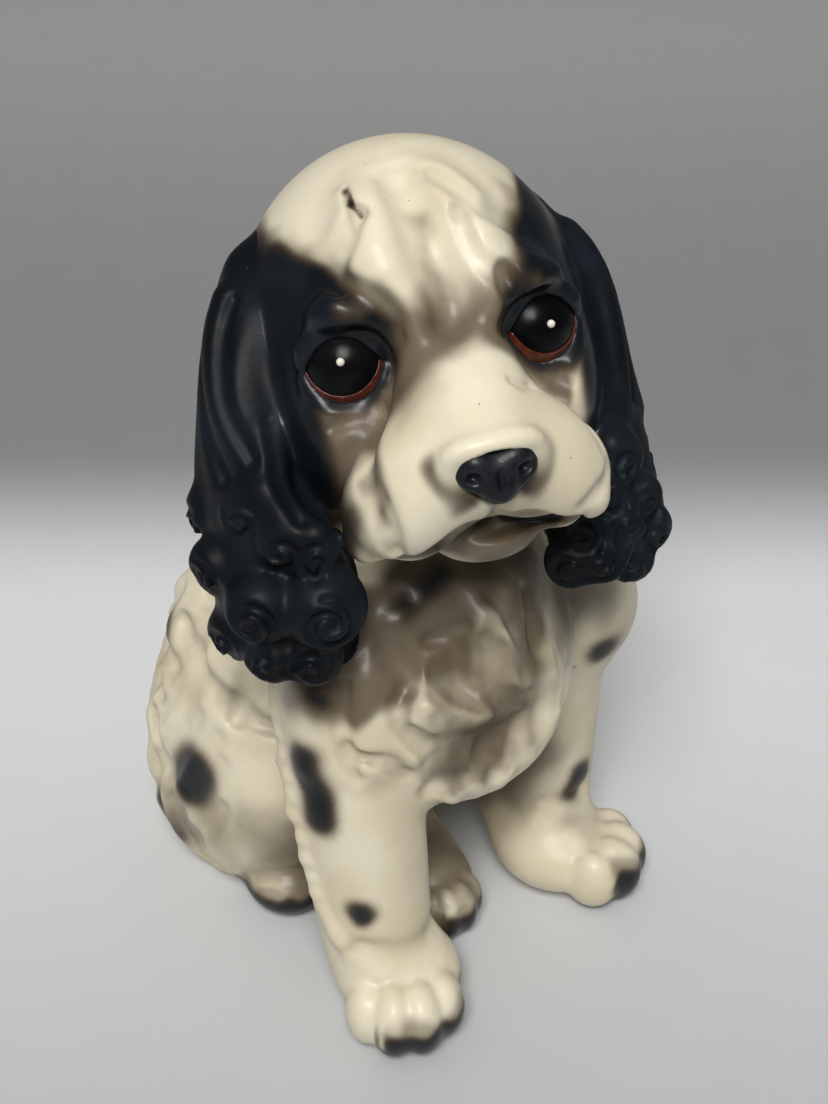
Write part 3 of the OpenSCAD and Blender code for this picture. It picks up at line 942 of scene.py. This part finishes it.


# Brown airbrush on the face, with painted shade beside the nose, under the chin and on the cheeks below the
# ears, in head space: ends, radius, soft edge and strength
FACE_BROWN_AND_SHADE = [
    ((-10, -38, 7), (9, -40, 8), 5.5, 14, 0.95), ((-10.5, -40, 3), (-14, -36, -9), 3.6, 9, 1.0),
    ((-4, -41, 3), (-5, -44, -5), 4.5, 14, 0.8), ((12, -38, 4), (14, -36, -4), 3, 9, 0.9),
    ((-1.5, -27, 26), (-1, -34, 12), 2.5, 8, 0.6), ((20, -17, 28), (22, -18, 20), 4, 12, 0.5),
    ((-9.2, -56, -16), (-7, -57, -21.5), 3.0, 6, 1.0), ((9.2, -56, -16), (7, -57, -21.5), 3.0, 6, 1.0),
    ((-8, -58, -11.5), (8, -58, -11.5), 0.8, 4, 0.35), ((-16, -32, 18), (-8, -36, 12), 3, 9, 0.5),
    ((20, -28, 14), (22, -22, 24), 4, 10, 0.5), ((-21.5, -31, -8), (-25, -31, -18), 5, 12, 0.85),
    ((-20.2, -41, -13), (-20.5, -50, -24), 1.6, 6.5, 1.0),
    ((-16.5, -34, -10), (-20.2, -43, -14), 2.0, 7, 1.0), ((-19, -45, -12), (-20, -51, -20), 1.2, 7, 0.9),
    ((-13, -17, 34), (-13, -27, 28), 1, 5, 0.5), ((17.9, -30, -5.5), (21, -32, -11), 1.4, 5, 1.0),
    ((21, -32, -11), (20.5, -45, -14), 1.3, 5.5, 1.0), ((20.5, -44, -14), (22, -46, -24), 1.2, 5.5, 0.85),
    ((-27, -28, -24), (-24, -30, -34), 4, 10, 0.7), ((28, -20, -18), (26, -26, -30), 4, 9, 0.6),
    ((-9, -46, -35), (8, -44, -36.5), 6, 10, 0.9), ((0, -58, -22), (0, -54, -28), 0.8, 3, 0.7),
    ((-9, -32, 24), (-9, -34, 18), 1.5, 6, 0.2), ((20, -50, -27), (17, -52, -30), 1, 5, 0.5),
]


# Brown airbrush on the face and round the black patches, with painted shade in the face's hollows
def head_brown_and_shade(p):
    q = HEAD.into(p + wobble(p, 12, 1.0))
    return airbrush_and_shade(q, FACE_BROWN_AND_SHADE, 0.75 * patches(q, 8))


# ------ meshes


def place(p):
    """Design millimetres to metres in the figurine's own frame."""
    return (np.asarray(p, float) + DESIGN_CENTRE) * UNIT


def crop(clay, w, d):
    """The part of a grid inside a window, with its own distances."""
    part = object.__new__(Clay)
    part.cell, part.low = clay.cell, clay.low + clay.cell * np.array([s.start for s in w])
    part.n, part.d = np.array(d.shape), d
    part.axes = [a[s] for a, s in zip(clay.axes, w)]
    return part


# Pieces meshed at a wider spacing than the clay's own grid, as a multiple of it
WIDER = {"torso": 1.28}


def regrid(d, step):
    """A grid read at a wider spacing along each axis."""
    for axis in range(3):
        t = np.arange(0, d.shape[axis] - 1, step)
        i = t.astype(int)
        f = (t - i).astype(np.float32).reshape([-1 if k == axis else 1 for k in range(3)])
        d = np.take(d, i, axis) * (1 - f) + np.take(d, i + 1, axis) * f
    return d


# Seam fitting, in grid cells: how near a point has to be, and how far it may move
SEAM_NEAR = 0.8
SEAM_MOVE = 1.2


def to_seam(p, skin, share):
    """Draws the points where a piece's border meets the skin exactly on to both, so that neighbours meet."""
    cell, half = skin.cell, skin.cell / 2
    near = (np.abs(skin.sample(p)) < cell * SEAM_NEAR) & (np.abs(share.sample(p)) < cell * SEAM_NEAR)
    q = p[near]
    for _ in range(5):
        for field in (share, skin):
            g = field.slope(q, half) / (2 * half)
            step = g * (field.sample(q) / np.maximum((g * g).sum(-1), 0.05))[:, None]
            length = np.maximum(np.linalg.norm(step, axis=1), 1e-9)
            q = q - step * np.minimum(1, half / length)[:, None]
    far = np.linalg.norm(q - p[near], axis=1) > cell * SEAM_MOVE
    q[far] = p[near][far]
    p = p.copy()
    p[near] = q
    return p


def whole(verts, quads, least=80):
    """Leaves out loose crumbs of fewer than the least number of points."""
    label = np.arange(len(verts))
    for _ in range(60):
        low = label[quads].min(1)
        new = label.copy()
        for k in range(4):
            np.minimum.at(new, quads[:, k], low)
        new = new[new]
        if (new == label).all():
            break
        label = new
    count = np.bincount(label, minlength=len(verts))
    keep = count[label] >= least
    index = np.cumsum(keep) - 1
    return verts[keep], index[quads[keep[quads[:, 0]]]]


def quad_normals(verts, quads):
    n = np.cross(verts[quads[:, 2]] - verts[quads[:, 0]], verts[quads[:, 3]] - verts[quads[:, 1]])
    out = np.zeros_like(verts)
    for k in range(4):
        np.add.at(out, quads[:, k], n)
    return out / np.maximum(np.linalg.norm(out, axis=1, keepdims=True), 1e-12)


def put(name, data):
    """Adds an object to the scene."""
    item = bpy.data.objects.new(name, data)
    bpy.context.scene.collection.objects.link(item)
    return item


def build(name, verts, quads, normals, fields, material):
    """Makes the Blender object of one piece, in metres, with its paint fields as point attributes."""
    mesh = bpy.data.meshes.new(name)
    mesh.from_pydata(place(verts).tolist(), [], quads.tolist())
    mesh.update()
    mesh.shade_smooth()
    mesh.normals_split_custom_set_from_vertices(normals.tolist())
    for key, values in fields.items():
        mesh.attributes.new(key, "FLOAT", "POINT").data.foreach_set("value", np.asarray(values, np.float32))
    mesh.materials.append(material)
    return put(name, mesh)


def adopt(piece, node):
    """A piece stands for a CAD node, which it hides, and moves with the figurine."""
    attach(piece, "root")
    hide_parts(node)


# How far off the surface folds are looked for
NEAR_REACH = 2.0
WIDE_REACH = 6.0


# The near and wide depths drive the painted shade in the folds
def hollows(skin, p, n):
    """How deep each point lies in a fold, near and wide, and how sharp an edge it is on."""
    near = np.clip(1 - skin.sample(p + n * NEAR_REACH) / NEAR_REACH, 0, 1)
    wide = np.clip(1 - skin.sample(p + n * WIDE_REACH) / WIDE_REACH, 0, 1)
    edge = np.clip(1 + skin.sample(p - n * NEAR_REACH) / NEAR_REACH, 0, 1)
    return near, wide, edge


def clay_piece(f, name, material):
    owned = (f.owner == f.names.index(name)) & (f.skin.d < 1)
    w = window_of(owned, 7)
    skin = crop(f.skin, w, f.skin.d[w])
    share = crop(f.skin, w, f.region(name, w))
    step = WIDER.get(name, 1.0)
    verts, quads = nets(regrid(np.maximum(skin.d, share.d), step), skin.low, skin.cell * step)
    verts, quads = whole(to_seam(verts, skin, share), quads)
    normals = quad_normals(verts, quads)
    outside = np.abs(skin.sample(verts)) < skin.cell * 0.5
    field_normals = f.skin.normal(verts)
    normals[outside] = field_normals[outside]
    near, wide, edge = hollows(f.skin, verts, field_normals)
    if name.startswith("ear"):
        dark, brown = np.ones(len(verts)), np.zeros(len(verts))
    elif name == "head":
        dark, brown = head_dark(verts), head_brown_and_shade(verts)
    else:
        dark, brown = coat_dark(verts), coat_brown_and_shade(verts)
    fields = {"dark": dark, "brown": brown, "near": near, "wide": wide, "edge": edge}
    piece = build(name + "_glazed", verts, quads, normals, fields, material)
    adopt(piece, name)


def small_piece(name, centre, reach, cell, make, side, material):
    """A piece modelled in a fine grid of its own, which reaches as far round its centre as is given."""
    centre = np.array(centre, float)
    clay = Clay(centre - reach, centre + reach, cell)
    make(clay, side)
    verts, quads = nets(clay.d, clay.low, clay.cell)
    verts, quads = whole(verts, quads, 20)
    piece = build(name + "_enamel", verts, quads, clay.normal(verts), {}, material)
    adopt(piece, name)


# The iris opening that the red rim frames: its radius, and how far its centre sits above the eye's
RIM_R = 7.5
RIM_LIFT = 2.5
# Painted glint, from the centre of the eye
GLINT = {-1: (-2.0, -8.55, 2.0), 1: (1.9, -8.7, 0.9)}


def eye(k, s):
    k.egg(eye_spot(s), (EYE_R,) * 3, 0, HEAD)


def eye_rim(k, s):
    """Thin crescent of enamel on the lower front of the eyeball."""
    x, y, z = k.local(k.all(), HEAD.then(eye_spot(s), rot(2, s * 14)))
    ball = np.sqrt(x ** 2 + y ** 2 + z ** 2)
    shell = np.abs(ball - (EYE_R - 0.2)) - 0.5
    inner = RIM_R - np.sqrt(x ** 2 + (z - RIM_LIFT) ** 2)
    d = np.maximum(np.maximum(shell, inner), y + 3.0)
    k.d = np.maximum(d, z - 0.6).astype(np.float32)


def glint(k, s):
    at = np.array(eye_spot(s)) + GLINT[s]
    k.egg(at, (0.85, 0.75, 0.85), 0, HEAD)


def nose(k, _):
    """Leathery pad, wide at the top and narrow below, with two nostrils."""
    h = HEAD
    k.egg((0, -58.3, -18), (4.4, 4.2, 4.3), 0, h)
    k.egg((0, -58.2, -20.4), (2.8, 3.4, 2.2), 3, h)
    for s in (-1, 1):
        k.egg((s * 3.7, -57.7, -14.7), (4.0, 4.4, 3.5), 2.6, h)
    for s in (-1, 1):
        k.tube([(s * 6.9, -57.3, -14.6), (s * 6.3, -59.3, -17.2), (s * 4.2, -60, -19.2)],
            [1.1, 1.3, 0.9], 1.4, h)
        k.egg((s * 4.9, -61.4, -16.8), (1.1, 1.5, 0.8), 1.4, h, sign=-1)
    k.limb([(0, -62.2, -17), (0, -62.6, -23)], [0.6, 0.9], 0.9, h, sign=-1)


# ------ materials


class Nodes:
    """Small helper for wiring a node material."""

    def __init__(self, name):
        self.material = bpy.data.materials.new(name)
        self.material.use_nodes = True
        self.tree = self.material.node_tree
        self.shader = self.tree.nodes["Principled BSDF"]
        self.coords = self.tree.nodes.new("ShaderNodeTexCoord").outputs["Object"]

    def wire(self, node, inputs):
        """Links each input that is another node's socket and sets each that is a value."""
        for key, v in inputs.items():
            if isinstance(v, bpy.types.NodeSocket):
                self.tree.links.new(v, node.inputs[key])
            else:
                node.inputs[key].default_value = v

    def node(self, kind, out, inputs, **settings):
        n = self.tree.nodes.new("ShaderNode" + kind)
        for key, v in settings.items():
            setattr(n, key, v)
        self.wire(n, inputs)
        return n.outputs[out]

    def field(self, name):
        return self.node("Attribute", "Fac", {}, attribute_name=name)

    def noise(self, scale, detail=3.0, rough=0.5):
        settings = {"Scale": scale, "Detail": detail, "Roughness": rough, "Vector": self.coords}
        return self.node("TexNoise", "Fac", settings)

    def add(self, a, b):
        return self.node("Math", 0, {0: a, 1: b}, operation="ADD")

    def times(self, a, b):
        return self.node("Math", 0, {0: a, 1: b}, operation="MULTIPLY")

    def less(self, a, b):
        return self.node("Math", 0, {0: a, 1: b}, operation="SUBTRACT")

    def ramp(self, value, low, high, out_low=0.0, out_high=1.0):
        settings = {"From Min": low, "From Max": high, "To Min": out_low, "To Max": out_high, "Value": value}
        return self.node("MapRange", "Result", settings, interpolation_type="SMOOTHSTEP")

    def mix(self, factor, a, b):
        a, b = [(*v, 1.0) if isinstance(v, tuple) else v for v in (a, b)]
        return self.node("Mix", 2, {0: factor, 6: a, 7: b}, data_type="RGBA")

    def bump(self, height, distance):
        settings = {"Distance": distance, "Strength": 1.0, "Height": height}
        self.shade(Normal=self.node("Bump", "Normal", settings))

    def shade(self, **values):
        """Links or sets inputs of the surface shader."""
        self.wire(self.shader, {key.replace("_", " "): v for key, v in values.items()})


# Glaze and enamel colours; each enamel drifts between two tones
CREAM = (0.74, 0.68, 0.525)
CREAM_WARM = (0.66, 0.585, 0.42)
BROWN = (0.085, 0.058, 0.034)
# Brown for the airbrush and painted shade gathered in the folds
BROWN_PALE = (0.29, 0.24, 0.16)
BLACK = (0.0045, 0.006, 0.0078)
BLACK_BLUE = (0.0085, 0.013, 0.0175)
EYE_BLACK = ((0.002, 0.002, 0.003), (0.005, 0.005, 0.006))
RIM_RED = ((0.085, 0.014, 0.009), (0.14, 0.032, 0.018))
GLINT_WHITE = ((0.85, 0.82, 0.70), (0.78, 0.74, 0.60))
NOSE_BLACK = ((0.005, 0.006, 0.008), (0.011, 0.013, 0.017))


def glaze(name, level=0.28, coat=0.06, rough_up=0.0):
    """Satin cream glaze with brown airbrush and painted shade in the folds and black patches, from the paint
    fields.
    """
    m = Nodes(name)
    slow, grain, fine = m.noise(45), m.noise(420, 4), m.noise(1500, 3)
    cream = m.mix(m.ramp(slow, 0.35, 0.68), CREAM, CREAM_WARM)
    # Painted shade in the folds, together with the brown airbrush that gathers there, deepens with how far a
    # point lies in a fold
    fold = m.add(m.times(m.field("near"), 0.75), m.times(m.field("wide"), 0.5))
    fold = m.add(fold, m.times(m.less(grain, 0.5), 0.22))
    color = m.mix(m.ramp(fold, 0.22, 0.95, 0.0, 0.75), cream, BROWN_PALE)
    tan = m.add(m.field("brown"), m.times(fold, 0.35))
    color = m.mix(m.ramp(tan, 0.14, 1.0, 0.0, 0.9), color, BROWN)
    dark = m.add(m.field("dark"), m.times(m.less(fine, 0.5), 0.12))
    worn = m.times(m.ramp(m.field("edge"), 0.35, 0.9), m.ramp(grain, 0.5, 0.72))
    dark = m.less(dark, m.times(worn, 0.06))
    black = m.mix(m.ramp(slow, 0.4, 0.65), BLACK, BLACK_BLUE)
    shadow = m.mix(m.ramp(dark, 0.02, 0.75), color, BROWN)
    color = m.mix(m.ramp(dark, 0.25, 1.0), shadow, black)
    speck = m.times(m.ramp(m.noise(900, 2, 0.6), 0.735, 0.77), m.ramp(m.noise(130), 0.5, 0.6))
    color = m.mix(speck, color, BROWN)
    m.shade(Base_Color=color)
    rough = m.less(m.ramp(slow, 0.3, 0.7, 0.33 + rough_up, 0.42 + rough_up), m.times(m.field("dark"), 0.1))
    m.shade(Roughness=m.add(rough, m.times(grain, 0.08)))
    m.bump(m.add(m.times(grain, 0.5), m.times(fine, 0.15)), 0.00012)
    m.shade(Coat_Weight=coat, Coat_Roughness=0.12, Specular_IOR_Level=level)
    return m.material


def enamel(name, low, high, rough, scale, coat=1.0, level=0.35):
    """Glossy enamel with a slight drift of tone."""
    m = Nodes(name)
    color = m.mix(m.ramp(m.noise(scale), 0.35, 0.65), low, high)
    m.shade(Base_Color=color)
    m.shade(Roughness=m.ramp(m.noise(scale * 3), 0.3, 0.7, rough, rough * 1.5))
    m.bump(m.noise(scale * 2), 0.00004)
    m.shade(Coat_Weight=coat, Coat_Roughness=0.08, Specular_IOR_Level=level)
    return m.material


# ------ stage


# Floor in metres: half its width and how far it lies below the feet; and its cells along a side
FLOOR_HALF = 4.0
FLOOR_DROP = 0.0002
FLOOR_CELLS = 24


def sheet(name, size):
    """Wide flat floor, coloured by its material."""
    n = FLOOR_CELLS
    t = np.linspace(-size, size, n + 1)
    x, y = np.meshgrid(t, t, indexing="ij")
    verts = np.column_stack([x.ravel(), y.ravel(), np.full(x.size, -FLOOR_DROP)])
    i, j = np.meshgrid(np.arange(n), np.arange(n), indexing="ij")
    a = (i * (n + 1) + j).ravel()
    mesh = bpy.data.meshes.new(name)
    mesh.from_pydata(verts.tolist(), [], np.column_stack([a, a + n + 1, a + n + 2, a + 1]).tolist())
    return put(name, mesh)


# Camera: degrees, design millimetres, then the lens and sensor in millimetres and the clip range in metres
CAMERA_AZIMUTH = -40.0
CAMERA_ELEVATION = 33.0
CAMERA_DISTANCE = 380.0
CAMERA_TARGET = (5.0, 0.0, 95.0)
LENS = 50
SENSOR = 36
CLIP = (0.01, 20)


def looking_back(azimuth, elevation):
    """Unit vector from the figurine towards a viewer."""
    a, e = math.radians(azimuth), math.radians(elevation)
    return np.array([math.sin(a) * math.cos(e), -math.cos(a) * math.cos(e), math.sin(e)])


# Painted light on the paper, from the front of the stage to far behind: shaded in front, a lit band just
# behind the figurine, shaded beyond and lighter far back, with the stretches in metres where they change
PAPER_SHADED_FRONT = (0.33, 0.34, 0.35)
PAPER_LIT_BAND = (0.71, 0.72, 0.73)
PAPER_SHADED_BACK = (0.26, 0.265, 0.265)
PAPER_FAR_LIT = (0.5, 0.5, 0.5)
PAPER_STEPS = (-0.25, 0.12, 0.23, 1.0)


def floor_material():
    """Pale grey paper with painted light and shade: lightest just behind the figurine and darker beyond."""
    m = Nodes("paper_painted_light")
    away = tuple(-looking_back(CAMERA_AZIMUTH, 0))
    depth = m.node("VectorMath", "Value", {0: m.coords, 1: away}, operation="DOT_PRODUCT")
    near = m.mix(m.ramp(depth, *PAPER_STEPS[:2]), PAPER_SHADED_FRONT, PAPER_LIT_BAND)
    color = m.mix(m.ramp(depth, *PAPER_STEPS[1:3]), near, PAPER_SHADED_BACK)
    color = m.mix(m.ramp(depth, *PAPER_STEPS[2:]), color, PAPER_FAR_LIT)
    m.shade(Base_Color=color)
    m.shade(Roughness=m.ramp(m.noise(60), 0.3, 0.7, 0.55, 0.65))
    m.bump(m.noise(900, 4), 0.00005)
    return m.material


def lamp(name, at, size, watts, color, glossy=True):
    data = bpy.data.lights.new(name, "AREA")
    data.shape, data.size, data.size_y = "RECTANGLE", size[0], size[1]
    data.energy, data.color = watts, color
    lit = put(name, data)
    lit.location = Vector(place(at))
    lit.rotation_euler = (Vector(place(LAMP_AIM)) - lit.location).to_track_quat("-Z", "Y").to_euler()
    lit.visible_glossy = glossy


def camera():
    data = bpy.data.cameras.new("camera")
    data.lens, data.sensor_fit = LENS, "VERTICAL"
    data.sensor_height, data.sensor_width = SENSOR, SENSOR
    data.clip_start, data.clip_end = CLIP
    view = put("camera", data)
    back = looking_back(CAMERA_AZIMUTH, CAMERA_ELEVATION)
    view.location = Vector(place(np.array(CAMERA_TARGET) + back * CAMERA_DISTANCE))
    view.rotation_euler = Vector(-back).to_track_quat("-Z", "Y").to_euler()
    bpy.context.scene.camera = view


# Lamps: place in design millimetres, size in metres, watts and colour
KEY = ((-940, -900, 1700), (0.8, 0.8), 39.0, (1.0, 0.985, 0.96))
TOP = ((0, 60, 2720), (3.4, 3.4), 25.0, (1.0, 0.99, 0.98))
LAMP_AIM = (0, 0, 80)
ROOM_COLOR = (0.93, 0.96, 1.0, 1.0)
ROOM_STRENGTH = 0.10


def studio():
    floor = sheet("floor", FLOOR_HALF)
    floor.data.materials.append(floor_material())
    scene = bpy.context.scene
    scene.view_settings.view_transform = "Standard"
    world = bpy.data.worlds.new("room")
    world.use_nodes = True
    world.node_tree.nodes["Background"].inputs["Color"].default_value = ROOM_COLOR
    world.node_tree.nodes["Background"].inputs["Strength"].default_value = ROOM_STRENGTH
    scene.world = world
    lamp("key", *KEY)
    lamp("top", *TOP, glossy=False)
    camera()


# ------ assembly

CLAY_SLOTS = {
    "torso": "body_glaze", "head": "head_glaze", "ear_right": "ear_glaze", "ear_left": "ear_glaze",
    "foreleg_right": "limb_glaze", "foreleg_left": "limb_glaze", "haunch_right": "limb_glaze",
    "haunch_left": "limb_glaze", "hind_paw_right": "limb_glaze", "hind_paw_left": "limb_glaze",
    "tail": "limb_glaze",
}


def enamels():
    """Materials of the pieces painted over the glaze."""
    return {
        "eye": enamel("eye_enamel", *EYE_BLACK, rough=0.22, scale=90, coat=0.0, level=0.13),
        "rim": enamel("rim_enamel", *RIM_RED, rough=0.2, scale=260, coat=0.3),
        "glint": enamel("glint_enamel", *GLINT_WHITE, rough=0.2, scale=900),
        "nose": enamel("nose_glaze", *NOSE_BLACK, rough=0.36, scale=300, coat=0.1, level=0.25),
    }


def assemble():
    f = figure()
    carve_seats(f.skin)
    finishes = {slot: glaze(slot) for slot in ("body_glaze", "head_glaze", "limb_glaze")}
    finishes["ear_glaze"] = glaze("ear_glaze", level=0.13, coat=0.0, rough_up=0.16)
    for name, slot in CLAY_SLOTS.items():
        clay_piece(f, name, finishes[slot])
    paint = enamels()
    for side, s in SIDES.items():
        at = np.array(eye_spot(s))
        for name, spot_at, reach, cell, make, kind in (
            ("eye_", at, 11, 0.35, eye, "eye"), ("eye_rim_", at, 11, 0.2, eye_rim, "rim"),
            ("glint_", at + GLINT[s], 3, 0.12, glint, "glint"),
        ):
            small_piece(name + side, HEAD.out(spot_at), reach, cell, make, s, paint[kind])
    small_piece("nose", HEAD.out((0, -57, -17)), 11, 0.3, nose, None, paint["nose"])


def carve_seats(k):
    """Flat foot plane, and the seats that the eyeballs sit in."""
    x, y, z = k.local(k.all(), REST)
    k.d = -soft_min(-k.d, z + 0 * x + 0 * y, 1.2)
    for s in SIDES.values():
        k.egg(eye_spot(s), (EYE_R - 0.3,) * 3, 0, HEAD, sign=-1)


assemble()
studio()
